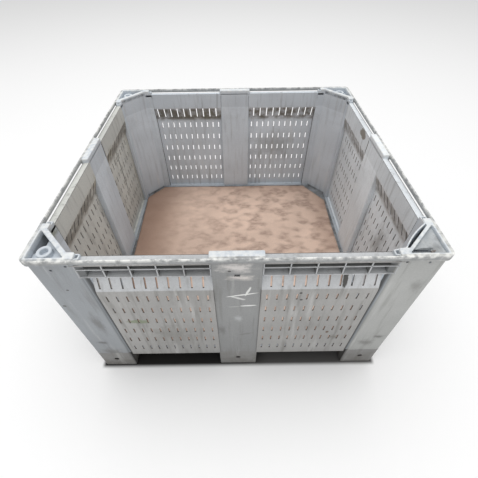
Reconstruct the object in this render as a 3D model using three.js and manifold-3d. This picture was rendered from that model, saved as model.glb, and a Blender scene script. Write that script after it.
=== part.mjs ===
// Bulk pallet box: one plastic moulding with four vented walls, rim, corner columns, centre posts,
// floor and nine feet, and a loose board liner lying on the floor.
// Millimetres, +Z up, front of the box at -Y, origin on the ground under the middle of the box.
import * as THREE from 'three';
import { mergeVertices } from 'three/addons/utils/BufferGeometryUtils.js';
import Module from 'manifold-3d';

// ---- overall size -------------------------------------------------------------------------
const WIDTH = 1219;              // outside of the rim, left to right
const DEPTH = 1143;              // outside of the rim, front to back
const HEIGHT = 787;              // ground to the top of the rim

// ---- depths measured inward from the outside face of the rim -------------------------------
const COLUMN_FACE = 8;           // outside face of corner columns, posts and feet
const PANEL_FACE = 4;            // outside face of the vented panels
const PANEL_SKIN = 3.5;          // thickness of panel, slope and pocket back
const INNER_FACE = 33;           // inside face of band, posts and columns
const COLUMN_SKIN = 4;           // thickness of column and post walls
const FLOOR_INSET = 14;          // edge of the floor plate

// ---- heights -------------------------------------------------------------------------------
const FLOOR_TOP = 136;
const FLOOR_SKIN = 4;
const RIB_BOTTOM = 108;          // underside of the floor ribs, top of the fork openings
const SLOPE_BOTTOM = HEIGHT - 175; // outside line where the panel turns into the slope
const BAND_BOTTOM = HEIGHT - 94; // underside of the lower stiffening rib
const POCKET_RIB = 4;            // thickness of the stiffening ribs round the pockets
const MID_RIB = HEIGHT - 56;     // underside of the middle stiffening rib
const LEDGE_TOP = HEIGHT - 17;   // ledge inside the rim lip
const LEDGE_SKIN = 4;
const LIP = 5;                   // thickness of the rim lip
const GUSSET = LEDGE_TOP - 14;   // underside of the plate in a corner pocket
const BOSS_TOP = LEDGE_TOP + 6;
const SPLIT_LOW = LEDGE_TOP - 32; // lowest point of the split in the front right corner

// ---- lengths along a wall ------------------------------------------------------------------
const POST_HALF = 78;            // half width of a centre post
const PAD_HALF = 80;             // half width of the raised pad on top of it
const COLUMN_FLAT = 134.5;       // flat part of a corner column
const COLUMN_END = 163.5;        // where the panel begins
const COLUMN_DIP = 13;           // depth of the column face where it meets the panel
const POCKET_END = 140;          // end of the rim pockets, from the outer corner
const CORNER_PAD = 150;          // end of the raised corner pad, from the outer corner
const DIAGONAL = 160;            // sum of the two depths on the inside face of the corner wall
const CELLS = 5;                 // rim pockets in a row

// ---- vents ---------------------------------------------------------------------------------
const VENT_ROWS = 6;
const VENT_COLUMNS = 6;
const VENT_TOP = SLOPE_BOTTOM - 36; // middle height of the top row
const VENT_STEP = (VENT_TOP - FLOOR_TOP - 60) / (VENT_ROWS - 1); // from row to row
const VENT_HEIGHT = 33;
const VENT_WIDTH = 5.5;
const VENT_FIRST = 95.7;         // nearest column to the middle of the wall
const VENT_MARGIN = 24.8;        // last column to the end of the panel
const LONG_COLUMNS = 5;
const LONG_LOW = SLOPE_BOTTOM + 20; // long vents in the slope
const LONG_HIGH = BAND_BOTTOM - 9;
const LONG_FIRST = 106;
const LONG_MARGIN = 16;

// ---- feet ----------------------------------------------------------------------------------
const FOOT_END = 150;            // a corner foot, from the outer corner
const FOOT_HALF = 80;            // half width of a middle foot
const FOOT_REACH = 140;          // how far a side foot reaches in, from the outside
const FOOT_SKIN = 5;
const FOOT_BASE = 6;
const DRAIN = 40;                // square drain hole in the base of the foot in the middle
const FOOT_HOLE = 22;
const FOOT_HOLE_HEIGHT = 67;
const CORNER_HOLE = 75;          // foot hole of a corner column, from the outer corner
const RIBS = 5;                  // floor ribs over each fork opening
const RIB_SKIN = 4;

// ---- loose liner ---------------------------------------------------------------------------
const LINER_THICKNESS = 3;
const REST_GAP = 0.3;

const wasm = await Module();
wasm.setup();

// Turns a three.js geometry into a solid that can be joined and cut.
function solid(geometry) {
  const g = geometry.index ? geometry : geometry.clone();
  g.deleteAttribute('normal');
  g.deleteAttribute('uv');
  const m = mergeVertices(g, 1e-4);
  return new wasm.Manifold(new wasm.Mesh({
    numProp: 3,
    vertProperties: new Float32Array(m.attributes.position.array),
    triVerts: new Uint32Array(m.index.array),
  }));
}

// Joins a list of solids two by two.
function join(list) {
  let row = list;
  while (row.length > 1) {
    const next = [];
    for (let i = 0; i < row.length; i += 2) {
      next.push(i + 1 < row.length ? row[i].add(row[i + 1]) : row[i]);
    }
    row = next;
  }
  return row[0];
}

function outline(points, holes = []) {
  const shape = new THREE.Shape(points.map(([x, y]) => new THREE.Vector2(x, y)));
  for (const hole of holes) shape.holes.push(new THREE.Path(hole.map(([x, y]) => new THREE.Vector2(x, y))));
  return shape;
}

// Upright prism over a flat outline.
function prism(points, low, high, holes = []) {
  const g = new THREE.ExtrudeGeometry(outline(points, holes), { depth: high - low, bevelEnabled: false });
  g.translate(0, 0, low);
  return g;
}

function block(x0, x1, y0, y1, z0, z1) {
  const g = new THREE.BoxGeometry(x1 - x0, y1 - y0, z1 - z0);
  g.translate((x0 + x1) / 2, (y0 + y1) / 2, (z0 + z1) / 2);
  return g;
}

// Prism along a wall: the outline is given as depth and height, the length as two places.
function rail(points, s0, s1) {
  const g = new THREE.ExtrudeGeometry(outline(points), { depth: s1 - s0, bevelEnabled: false });
  const turn = new THREE.Matrix4().set(0, 0, 1, s0, 1, 0, 0, 0, 0, 1, 0, 0, 0, 0, 0, 1);
  g.applyMatrix4(turn);
  return g;
}

// Walls 0 front, 1 right, 2 back, 3 left. Local x runs along the wall, local y is the depth inward.
const wallHalf = (k) => (k % 2 ? DEPTH : WIDTH) / 2;
const wallOut = (k) => (k % 2 ? WIDTH : DEPTH) / 2;
function onWall(g, k) {
  g.translate(0, -wallOut(k), 0);
  g.rotateZ(k * Math.PI / 2);
  return g;
}

// Corners 0 front left, 1 front right, 2 back right, 3 back left, each a quarter turn of the last.
function onCorner(g, k) {
  g.translate(-wallHalf(k), -wallOut(k), 0);
  g.rotateZ(k * Math.PI / 2);
  return g;
}

function arc(cx, cy, r, from, to, steps) {
  const out = [];
  for (let i = 0; i <= steps; i += 1) {
    const t = from + (to - from) * i / steps;
    out.push([cx + r * Math.cos(t), cy + r * Math.sin(t)]);
  }
  return out;
}

// Rounded rectangle centred on the box.
function roundedFrame(inset, radius) {
  const x = WIDTH / 2 - inset - radius;
  const y = DEPTH / 2 - inset - radius;
  const q = Math.PI / 2;
  return [...arc(-x, -y, radius, 2 * q, 3 * q, 2), ...arc(x, -y, radius, 3 * q, 4 * q, 2),
    ...arc(x, y, radius, 0, q, 2), ...arc(-x, y, radius, q, 2 * q, 2)];
}

// A corner column seen from above, skin set in by t on both sides.
function columnOutline(t) {
  const f = COLUMN_FACE + t;
  const e = COLUMN_END - t;
  const i = INNER_FACE - t;
  const dip = COLUMN_DIP + t * 1.1;
  const d = DIAGONAL - t * Math.SQRT2 - i;
  const corner = t > 0 ? [[f, f]] : arc(f + 12, f + 12, 12, Math.PI, 1.5 * Math.PI, 2);
  return [...corner, [COLUMN_FLAT, f], [e, dip], [e, i], [d, i], [i, d], [i, e], [dip, e], [f, COLUMN_FLAT]];
}

// Cross sections of a vented half wall, depth and height: panel, slope and pocket back, end to end.
function wallSections() {
  const back = INNER_FACE - PANEL_SKIN;
  const skin = PANEL_FACE + PANEL_SKIN;
  const low = FLOOR_TOP - FLOOR_SKIN;
  const outer = [[PANEL_FACE, low], [PANEL_FACE, SLOPE_BOTTOM], [back, BAND_BOTTOM + 0.6], [back, LEDGE_TOP]];
  const inner = [[skin, low], [skin, SLOPE_BOTTOM - 0.6], [INNER_FACE, BAND_BOTTOM], [INNER_FACE, LEDGE_TOP]];
  return [0, 1, 2].map((i) => [outer[i], inner[i], inner[i + 1], outer[i + 1]]);
}

const parts = [];
const cuts = [];

for (let k = 0; k < 4; k += 1) {
  const half = wallHalf(k);
  const panelEnd = half - COLUMN_END;
  const pocketEnd = half - POCKET_END;
  const sides = [-1, 1];

  // Centre post: a box tube from the floor to the rim, with the pad on top.
  parts.push(solid(onWall(prism(
    [[-POST_HALF, COLUMN_FACE], [POST_HALF, COLUMN_FACE], [POST_HALF, INNER_FACE], [-POST_HALF, INNER_FACE]],
    FLOOR_TOP - FLOOR_SKIN, LEDGE_TOP,
    [[[-POST_HALF + COLUMN_SKIN, COLUMN_FACE + COLUMN_SKIN], [-POST_HALF + COLUMN_SKIN, INNER_FACE - COLUMN_SKIN],
      [POST_HALF - COLUMN_SKIN, INNER_FACE - COLUMN_SKIN], [POST_HALF - COLUMN_SKIN, COLUMN_FACE + COLUMN_SKIN]]],
  ), k)));
  parts.push(solid(onWall(block(-PAD_HALF, PAD_HALF, 1, INNER_FACE, LEDGE_TOP - LEDGE_SKIN, HEIGHT), k)));
  cuts.push(solid(onWall(block(-8.5, 8.5, 0, COLUMN_FACE + 10, BAND_BOTTOM - 4, BAND_BOTTOM + 8), k)));

  // Middle foot of this side.
  const fx = FOOT_HALF - FOOT_SKIN;
  parts.push(solid(onWall(block(-FOOT_HALF, FOOT_HALF, COLUMN_FACE, FOOT_REACH, 0, FLOOR_TOP - 1), k)));
  cuts.push(solid(onWall(block(-fx, fx, COLUMN_FACE + FOOT_SKIN, FOOT_REACH - FOOT_SKIN, FOOT_BASE,
    FLOOR_TOP - FLOOR_SKIN), k)));

  for (const side of sides) {
    const span = (from, to) => (side > 0 ? [from, to] : [-to, -from]);

    // Vented panel, slope and pocket back.
    for (const piece of wallSections()) {
      parts.push(solid(onWall(rail(piece, ...span(POST_HALF - 2, panelEnd + 2)), k)));
    }
    // Webs that join the panel to the post and to the corner column.
    const webLow = FLOOR_TOP - FLOOR_SKIN;
    for (const web of [span(POST_HALF - 2, POST_HALF + 2), span(panelEnd - 1, panelEnd + 3)]) {
      parts.push(solid(onWall(block(...web, PANEL_FACE, INNER_FACE, webLow, BAND_BOTTOM), k)));
    }
    // Rail along the bottom of the panel.
    parts.push(solid(onWall(rail([[PANEL_FACE, FLOOR_TOP - FLOOR_SKIN - 2], [FLOOR_INSET + 4, FLOOR_TOP - FLOOR_SKIN - 2],
      [FLOOR_INSET + 4, FLOOR_TOP], [PANEL_FACE, FLOOR_TOP]], ...span(POST_HALF - 2, panelEnd + 2)), k)));
    // Stiffening band with its pockets open to the outside.
    const [b0, b1] = span(POST_HALF - 2, pocketEnd + POCKET_RIB);
    parts.push(solid(onWall(block(b0, b1, COLUMN_FACE, INNER_FACE, BAND_BOTTOM, LEDGE_TOP), k)));
    const cell = (pocketEnd - POST_HALF) / CELLS;
    for (let i = 0; i < CELLS; i += 1) {
      const [c0, c1] = span(POST_HALF + i * cell + (i ? POCKET_RIB / 2 : 2),
        POST_HALF + (i + 1) * cell - (i < CELLS - 1 ? POCKET_RIB / 2 : 0));
      const floor = INNER_FACE - PANEL_SKIN;
      cuts.push(solid(onWall(block(c0, c1, 5.5, floor, MID_RIB + POCKET_RIB, LEDGE_TOP - LEDGE_SKIN), k)));
      cuts.push(solid(onWall(block(c0, c1, 0, floor, BAND_BOTTOM + POCKET_RIB, MID_RIB), k)));
    }
    // Vents: short ones in the panel, long ones in the slope.
    const vents = (count, first, last, low, high, deep) => {
      for (let i = 0; i < count; i += 1) {
        const s = side * (first + (last - first) * i / (count - 1));
        cuts.push(solid(onWall(block(s - VENT_WIDTH / 2, s + VENT_WIDTH / 2, 0, deep, low, high), k)));
      }
    };
    for (let r = 0; r < VENT_ROWS; r += 1) {
      const z = VENT_TOP - r * VENT_STEP;
      vents(VENT_COLUMNS, VENT_FIRST, panelEnd - VENT_MARGIN, z - VENT_HEIGHT / 2, z + VENT_HEIGHT / 2, 12);
    }
    vents(LONG_COLUMNS, LONG_FIRST, panelEnd - LONG_MARGIN, LONG_LOW, LONG_HIGH, INNER_FACE + 4);
  }
}

for (let k = 0; k < 4; k += 1) {
  // Corner column: a tube from the floor to the rim.
  parts.push(solid(onCorner(prism(columnOutline(0), FLOOR_TOP - FLOOR_SKIN, HEIGHT - 8,
    [columnOutline(COLUMN_SKIN).reverse()]), k)));
  // Corner foot.
  parts.push(solid(onCorner(prism([...arc(COLUMN_FACE + 12, COLUMN_FACE + 12, 12, Math.PI, 1.5 * Math.PI, 2),
    [FOOT_END, COLUMN_FACE], [FOOT_END, FOOT_END], [COLUMN_FACE, FOOT_END]], 0, FLOOR_TOP - 1), k)));
  const near = COLUMN_FACE + FOOT_SKIN;
  const far = FOOT_END - FOOT_SKIN;
  cuts.push(solid(onCorner(block(near, far, near, far, FOOT_BASE, FLOOR_TOP - FLOOR_SKIN), k)));
  // Raised corner pad with its three cornered pocket.
  parts.push(solid(onCorner(prism([...arc(21, 21, 20, Math.PI, 1.5 * Math.PI, 2), [CORNER_PAD, 1],
    [CORNER_PAD, INNER_FACE], [DIAGONAL - INNER_FACE, INNER_FACE], [INNER_FACE, DIAGONAL - INNER_FACE],
    [INNER_FACE, CORNER_PAD], [1, CORNER_PAD]], LEDGE_TOP - LEDGE_SKIN, HEIGHT,
  [[[15, 15], [15, 126], [126, 15]]]), k)));
  // Gusset plate with a round boss, over most of the hollow column.
  parts.push(solid(onCorner(prism([[10, 10], [144, 10], [38, 116], [38, 58], [10, 50]], GUSSET, GUSSET + 4), k)));
  parts.push(solid(onCorner(prism(arc(52, 46, 22, 0, Math.PI * 5 / 3, 5), GUSSET + 1, BOSS_TOP), k)));
  cuts.push(solid(onCorner(prism(arc(52, 46, 12, 0, Math.PI * 5 / 3, 5), GUSSET - 16, HEIGHT + 3), k)));
}

// Rim lip all round.
parts.push(solid(prism(roundedFrame(0, 20), LEDGE_TOP - 2, HEIGHT, [roundedFrame(LIP, 15).reverse()])));

// Ledge inside the lip.
for (let k = 0; k < 4; k += 1) {
  for (const side of [-1, 1]) {
    const a = POST_HALF - 2;
    const b = wallHalf(k) - POCKET_END + POCKET_RIB;
    parts.push(solid(onWall(block(side > 0 ? a : -b, side > 0 ? b : -a, 3, INNER_FACE,
      LEDGE_TOP - LEDGE_SKIN, LEDGE_TOP), k)));
  }
}

// Floor plate with ribs below it and the foot in the middle.
const fx = WIDTH / 2 - FLOOR_INSET;
const fy = DEPTH / 2 - FLOOR_INSET;
parts.push(solid(block(-fx, fx, -fy, fy, FLOOR_TOP - FLOOR_SKIN, FLOOR_TOP)));
const ribFirst = FOOT_HALF + 18;
const ribLast = WIDTH / 2 - FOOT_END - 20;
for (const side of [-1, 1]) {
  for (let i = 0; i < RIBS; i += 1) {
    const x = side * (ribFirst + (ribLast - ribFirst) * i / (RIBS - 1));
    parts.push(solid(block(x - RIB_SKIN / 2, x + RIB_SKIN / 2, -fy, fy, RIB_BOTTOM, FLOOR_TOP - 1)));
  }
}
parts.push(solid(block(-FOOT_HALF, FOOT_HALF, -FOOT_HALF, FOOT_HALF, 0, FLOOR_TOP - 1)));
const inside = FOOT_HALF - FOOT_SKIN;
cuts.push(solid(block(-inside, inside, -inside, inside, FOOT_BASE, FLOOR_TOP - FLOOR_SKIN)));
cuts.push(solid(block(-DRAIN / 2, DRAIN / 2, -DRAIN / 2, DRAIN / 2, -5, FOOT_BASE + 5)));

// Round holes low in the outside faces of the feet.
for (let k = 0; k < 4; k += 1) {
  for (const s of [-(wallHalf(k) - CORNER_HOLE), 0, wallHalf(k) - CORNER_HOLE]) {
    const g = prism(arc(0, 0, FOOT_HOLE / 2, 0, Math.PI * 1.6, 4), -30, 0);
    g.rotateX(Math.PI / 2);
    g.translate(s, -10, FOOT_HOLE_HEIGHT);
    cuts.push(solid(onWall(g, k)));
  }
}

// Split along the inside of the front right corner wall, gaping at the middle.
const split = [];
const tear = [[134, 30], [112, 44], [91, 63], [71, 83], [52, 102], [42, 113]];
for (const [a, b] of tear) split.push([a, b]);
for (const [a, b] of [...tear].reverse()) split.push([a - 2.7, b - 2.7]);
const splitGeometry = prism(split.map(([r, f]) => [WIDTH / 2 - r, -DEPTH / 2 + f]).reverse(), SPLIT_LOW, HEIGHT + 13);
cuts.push(solid(splitGeometry));

const body = join(parts).subtract(join(cuts));

function bodyGeometry(m) {
  const mesh = m.getMesh();
  const g = new THREE.BufferGeometry();
  g.setAttribute('position', new THREE.BufferAttribute(new Float32Array(mesh.vertProperties), 3));
  g.setIndex(new THREE.BufferAttribute(new Uint32Array(mesh.triVerts), 1));
  return g;
}

const group = new THREE.Group();
const bodyMesh = new THREE.Mesh(bodyGeometry(body),
  new THREE.MeshStandardMaterial({ color: 0xb9bcbb, roughness: 0.62, metalness: 0 }));
bodyMesh.name = 'box_body';
group.add(bodyMesh);

// Liner: one sheet with cut corners and slightly uneven edges.
const linerPoints = [[-466, -528], [-150, -531], [170, -527], [455, -530], [556, -436], [561, -120], [558, 160],
  [563, 376], [452, 521], [210, 526], [90, 523], [-80, 524], [-220, 527], [-478, 526], [-570, 424], [-561, 130],
  [-556, -140], [-558, -440]];
const linerLow = FLOOR_TOP + REST_GAP;
const linerMesh = new THREE.Mesh(bodyGeometry(solid(prism(linerPoints, linerLow, linerLow + LINER_THICKNESS))),
  new THREE.MeshStandardMaterial({ color: 0xa68d7e, roughness: 0.9, metalness: 0 }));
linerMesh.name = 'floor_liner';
group.add(linerMesh);

export default group;
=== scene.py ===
"""Bulk pallet box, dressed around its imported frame.

The moulded body is shown by finely cut skins that stand for the frame's body node, and the board
liner by one warped sheet. Shapes are worked out in millimetres and every mesh is in metres, as are
the places in the finishes.
"""
import logging
import math
from collections.abc import Callable, Iterator
from dataclasses import dataclass, field
from enum import Enum

import bmesh
import bpy
import numpy as np
from mathutils import Matrix


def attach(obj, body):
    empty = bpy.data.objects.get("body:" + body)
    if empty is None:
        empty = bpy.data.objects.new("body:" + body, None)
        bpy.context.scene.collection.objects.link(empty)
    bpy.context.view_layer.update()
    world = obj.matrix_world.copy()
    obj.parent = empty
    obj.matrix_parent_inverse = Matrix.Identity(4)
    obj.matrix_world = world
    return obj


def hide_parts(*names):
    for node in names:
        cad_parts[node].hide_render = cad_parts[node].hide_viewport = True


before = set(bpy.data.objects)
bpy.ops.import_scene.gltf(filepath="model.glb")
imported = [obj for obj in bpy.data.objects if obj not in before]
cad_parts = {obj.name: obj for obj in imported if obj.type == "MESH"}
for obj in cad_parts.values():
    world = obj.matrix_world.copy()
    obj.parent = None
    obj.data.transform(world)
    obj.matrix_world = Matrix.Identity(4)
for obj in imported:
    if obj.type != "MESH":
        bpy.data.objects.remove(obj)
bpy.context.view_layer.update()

Array = np.ndarray
Tone = tuple[float, float, float]
Material, Socket = bpy.types.Material, bpy.types.NodeSocket
LOG = logging.getLogger("pallet_box")

GREY = (158.0, 160.0, 161.0)
STREAK, WASHED, SCUFFED = (112.0, 110.0, 104.0), (222.0, 222.0, 220.0), (240.0, 240.0, 236.0)
# The joint tone is painted shade in the channels beside the columns, with some dirt.
GROUND_DIRT, JOINT_SHADE_AND_DIRT, FLOOR_DIRT = (96.0, 90.0, 82.0), (46.0, 45.0, 44.0), (72.0, 67.0, 60.0)
SLOPE_DUST, POCKET_SHADE = (112.0, 108.0, 98.0), (100.0, 100.0, 98.0)
FADED_PRINT, DAMP_EDGE, DAMP_SIDE = (132.0, 110.0, 100.0), (140.0, 112.0, 98.0), (146.0, 118.0, 102.0)
# The last two tones on the next line are the painted shadow under the box, left and right.
FLOOR_PAINT, PAINTED_SHADOW_LEFT, PAINTED_SHADOW_RIGHT = (252.0, 252.0, 252.0), (44.0, 43.0, 42.0), (84.0, 83.0, 82.0)

# Places in the finishes, in metres, for the front and back walls and then for the side walls: the
# joints' place along the wall and depth, and the pockets' end, back and front. Then the height of
# the band's lower edge, and half the liner's size.
JOINTS = ((0.4455, 0.556), (0.4075, 0.594))
POCKETS = ((0.470, 0.542, 0.5625), (0.432, 0.580, 0.6005))
BAND_FOOT, LINER_X, LINER_Y = 0.700, 0.572, 0.534

MM = 0.001
WIDTH, DEPTH, HEIGHT = 1219.0, 1143.0, 787.0
FLOOR_TOP = 136.0
COLUMN_FACE, INNER_FACE, WALL_SKIN = 8.0, 33.0, 6.5
SKIN_BOTTOM, SKIN_TOP = 130.0, 768.0
BASE, BASE_ROUND, FOOT_TOP = 0.4, 4.0, 131.5
FOOT_HOLE_HEIGHT, FOOT_HOLE_RADIUS, FOOT_SKIN = 67.0, 11.0, 5.0
PAD_BOTTOM, ROUNDED = 765.0, 0.6


class Slot(Enum):
    """The record's material slots."""

    PLASTIC = "body_plastic"
    BOARD = "liner_board"


class Side(Enum):
    """The four walls, each a quarter turn after the one before."""

    FRONT = 0
    RIGHT = 1
    BACK = 2
    LEFT = 3

    @property
    def half(self) -> float:
        """Half the length of this wall."""
        return (DEPTH if self.value % 2 else WIDTH) / 2

    @property
    def out(self) -> float:
        """Distance from the middle of the box to the outside of this wall."""
        return (WIDTH if self.value % 2 else DEPTH) / 2


CORNER_NAMES = ("front_left", "front_right", "back_right", "back_left")


# Places
def turned(x: Array, y: Array, z: Array, quarter: int) -> Array:
    """Points turned about the upright axis by whole quarter turns.

    Args:
        x: places along the first wall.
        y: places across it.
        z: heights.
        quarter: number of quarter turns.

    Returns:
        An array with the three coordinates on its last axis.
    """
    c, s = ((1, 0), (0, 1), (-1, 0), (0, -1))[quarter]
    x, y, z = np.broadcast_arrays(x, y, z)
    return np.stack([c * x - s * y, s * x + c * y, z], axis=-1).astype(float)


def on_wall(side: Side, s: Array, d: Array, z: Array) -> Array:
    """Points of a wall from the place along it, the depth inward and the height."""
    return turned(s, np.asarray(d) - side.out, z, side.value)


def on_corner(side: Side, a: Array, b: Array, z: Array) -> Array:
    """Points of the corner where a wall starts: a along the wall, b inward, and the height."""
    return turned(np.asarray(a) - side.half, np.asarray(b) - side.out, z, side.value)


def waves(points: Array, pitch: float, seed: int) -> Array:
    """Smooth unevenness of a surface: the mean of five sine waves of the place, between -1 and 1.

    Args:
        points: places, with three coordinates on the last axis.
        pitch: wavelength.
        seed: picks the directions and phases.

    Returns:
        One value for each point.
    """
    rng = np.random.default_rng(seed)
    directions = rng.normal(size=(3, 5))
    directions /= np.linalg.norm(directions, axis=0)
    return np.sin(points @ directions * (2 * math.pi / pitch) + rng.uniform(0, 6.28, 5)).mean(axis=-1)


def bumps(points: Array, pitch: float, seed: int) -> Array:
    """The same unevenness between 0 and 1."""
    return 0.5 + 0.5 * waves(points, pitch, seed)


def soft_ramp(x: Array, radius: float) -> Array:
    """Nought below 0 and x above it, with the bend rounded over the radius on both sides."""
    return np.where(x <= -radius, 0.0, np.where(x >= radius, x, (x + radius) ** 2 / (4 * radius)))


def smooth(x: Array) -> Array:
    """Nought to one with level ends: 3x squared less 2x cubed, held outside 0 to 1."""
    t = np.clip(x, 0.0, 1.0)
    return t * t * (3 - 2 * t)


# Surfaces
@dataclass
class Patch:
    """Points in millimetres, the four-sided faces that join them, and any many-sided end faces."""

    points: Array
    quads: Array
    caps: list[Array] = field(default_factory=list)


def grid(points: Array, keep: Array | None = None, wrap: bool = False) -> Patch:
    """Joins a grid of points with four-sided faces.

    Args:
        points: rows by columns by three.
        keep: which faces stay, rows by columns of faces, or all of them.
        wrap: whether the last row joins the first.

    Returns:
        The patch.
    """
    rows, columns = points.shape[:2]
    index = np.arange(rows * columns).reshape(rows, columns)
    if wrap:
        index = np.vstack([index, index[:1]])
    quads = np.stack([index[:-1, :-1], index[1:, :-1], index[1:, 1:], index[:-1, 1:]], axis=-1)
    return Patch(points.reshape(-1, 3), quads.reshape(-1, 4) if keep is None else quads[keep])


def loft(rings: Array, closed_ends: bool = True) -> Patch:
    """Skin over rings of points, one ring above the other, with a face over each end if asked."""
    patch = grid(rings.transpose(1, 0, 2), wrap=True)
    levels, count = rings.shape[:2]
    if closed_ends:
        first = np.arange(count) * levels
        patch.caps = [first, first + levels - 1]
    return patch


def facing_out(patch: Patch, centre: tuple[float, float, float]) -> Patch:
    """Turns a skin's faces over where, on the whole, they look towards the centre.

    Each face's normal is the cross product of its diagonals, and the sign of its product with
    the way from the centre says where it looks.
    """
    corners = patch.points[patch.quads]
    normals = np.cross(corners[:, 2] - corners[:, 0], corners[:, 3] - corners[:, 1])
    if ((corners.mean(axis=1) - centre) * normals).sum() < 0:
        patch.quads = patch.quads[:, ::-1]
    return patch


def facing_down(ring: Array, points: Array) -> Array:
    """Puts a level ring of points in the order whose face looks down: a signed area below nought."""
    x, y = points[ring, 0], points[ring, 1]
    return ring[::-1] if (x * np.roll(y, -1) - np.roll(x, -1) * y).sum() > 0 else ring


def rounded_box(x: tuple[float, float], y: tuple[float, float], radius: float, steps: int = 3) -> Array:
    """Outline of a rectangle with rounded corners, as points in order: quarter circles joined."""
    turn = np.linspace(0, math.pi / 2, steps + 1)
    angles = np.concatenate([turn + q * math.pi / 2 for q in (2, 3, 0, 1)])
    cx = np.repeat([x[0] + radius, x[1] - radius, x[1] - radius, x[0] + radius], steps + 1)
    cy = np.repeat([y[0] + radius, y[0] + radius, y[1] - radius, y[1] - radius], steps + 1)
    return np.stack([cx + radius * np.cos(angles), cy + radius * np.sin(angles)], axis=-1)


def level(x: Array, y: float) -> Array:
    """A straight run of an outline: points at x that share one y."""
    return np.stack([x, 0 * x + y], axis=-1)


def shrunk(outline: Array, inset: float) -> Array:
    """A closed outline moved inward: each point along the mean of its two edges' normals."""
    edge = np.roll(outline, -1, axis=0) - outline
    edge /= np.maximum(np.linalg.norm(edge, axis=1, keepdims=True), 1e-9)
    normal = np.stack([-edge[:, 1], edge[:, 0]], axis=-1)
    both = normal + np.roll(normal, 1, axis=0)
    return outline + inset * both / np.maximum((both * both).sum(axis=1, keepdims=True) / 2, 0.3)


def eased_levels(low: float, high: float, round_low: float, round_high: float, middle: Array) -> tuple[Array, Array]:
    """Heights and insets of an upright block with rounded lower and upper edges.

    Each rounded edge is a quarter circle in three steps; between them the inset is nought. Each
    height comes once.
    """
    turn = np.linspace(0, math.pi / 2, 4)
    z = np.concatenate([low + round_low * (1 - np.sin(turn)[::-1]), middle, high - round_high * (1 - np.sin(turn))])
    inset = np.concatenate([round_low * (1 - np.cos(turn)[::-1]), 0 * middle, round_high * (1 - np.cos(turn))])
    z, first = np.unique(z, return_index=True)
    return z, inset[first]


def carried(outline: Array, z: Array, inset: Array) -> Array:
    """An outline carried upward: one ring of points for each height, moved inward by its inset."""
    return np.stack([np.concatenate([shrunk(outline, i), np.full((len(outline), 1), h)], axis=1)
                     for h, i in zip(z, inset)])


def slab(side: Side, s: tuple[float, float], d: tuple[float, float], z: tuple[float, float]) -> Patch:
    """A bar of a wall with slightly rounded edges: its outline carried upward, shrunk at the ends."""
    outline = rounded_box(s, d, ROUNDED, 1)
    heights = np.array([z[0], z[0] + ROUNDED, z[1] - ROUNDED, z[1]])
    rings = [on_wall(side, *shrunk(outline, i).T, h) for h, i in zip(heights, (ROUNDED, 0, 0, ROUNDED))]
    return loft(np.stack(rings))


def hole_lines(centre: float, radius: float) -> Array:
    """Grid lines that a round hole needs: across it, at its edge and a little outside."""
    return centre + radius * np.array([-1.7, -1.0, -0.5, 0.0, 0.5, 1.0, 1.7])


def merged_lines(plain: Array, special: Array) -> Array:
    """Sorted lines of both lists, without plain ones that lie close to a special one."""
    if special.size == 0:
        return np.sort(plain)
    far = np.abs(plain[:, None] - special[None, :]).min(axis=1) > 2.5
    ends = (plain == plain.min()) | (plain == plain.max())
    return np.unique(np.round(np.concatenate([plain[far | ends], special]), 3))


def pierced(points: Array, across: int, depth: int, level: float, along: float, height: float,
            radius: float, keep: Array) -> None:
    """Opens a round hole in a flat face of a grid.

    The grid lines at the hole's edge are drawn in from a square to a circle, and the faces inside
    are left out. Works on the arrays given.

    Args:
        points: the grid's local coordinates, changed in place.
        across: which coordinate runs along the face.
        depth: which coordinate is constant on the face.
        level: its value there.
        along: place of the hole along the face.
        height: height of the hole.
        radius: its radius.
        keep: which faces stay, changed in place.
    """
    p = (points[..., across] - along) / radius
    q = (points[..., 2] - height) / radius
    reach = np.maximum(np.abs(p), np.abs(q))
    flat = np.abs(points[..., depth] - level) < 0.01
    inside = (reach < 1.01) & flat
    rows = np.arange(points.shape[0])
    nxt = (rows + 1) % points.shape[0] if keep.shape[0] == points.shape[0] else rows[:-1] + 1
    now = rows[:keep.shape[0]]
    corners = (inside[now][:, :-1] & inside[nxt][:, :-1] & inside[now][:, 1:] & inside[nxt][:, 1:])
    keep &= ~corners
    edge = flat & (np.abs(reach - 1) < 0.02)
    scale = np.where(edge, 1 / np.maximum(np.hypot(p, q), 1e-6), 1.0)
    points[..., across] = along + p * scale * radius
    points[..., 2] = height + q * scale * radius


def cup(ring: Array, faces: tuple[tuple[int, int], ...], along: float, place: Callable[..., Array],
        centre: tuple[float, float, float]) -> Patch:
    """A foot: its outline carried upward from a rounded base edge, with round holes and a base.

    Args:
        ring: the outline seen from above.
        faces: for each pierced face, the coordinate that runs along it and the constant one.
        along: place of the hole along its face.
        place: takes local coordinates to the box's own.
        centre: a local point inside the foot.

    Returns:
        The outside skin, open at the top.
    """
    up = merged_lines(np.array([12.0, 30.0, 100.0, FOOT_TOP]), hole_lines(FOOT_HOLE_HEIGHT, FOOT_HOLE_RADIUS))
    local = carried(ring, *eased_levels(BASE, FOOT_TOP, BASE_ROUND, 0.0, up)).transpose(1, 0, 2).copy()
    keep = np.ones((local.shape[0], local.shape[1] - 1), bool)
    for across, depth in faces:
        pierced(local, across, depth, COLUMN_FACE, along, FOOT_HOLE_HEIGHT, FOOT_HOLE_RADIUS, keep)
    points = place(local[..., 0], local[..., 1], local[..., 2])
    patch = facing_out(grid(points, keep, wrap=True), tuple(place(*centre)))
    patch.caps = [facing_down(np.arange(local.shape[0]) * local.shape[1], patch.points)]
    return patch


def ray_angles(outlines: tuple[Array, ...], centre: Array, count: int) -> Array:
    """Directions of rays from a centre: to each corner of the outlines, and a number all round."""
    corners = [np.arctan2(*(outline - centre).T[::-1]) for outline in outlines]
    return np.unique(np.round(np.concatenate(corners + [np.linspace(-math.pi, math.pi, count, False)]), 4))


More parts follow.
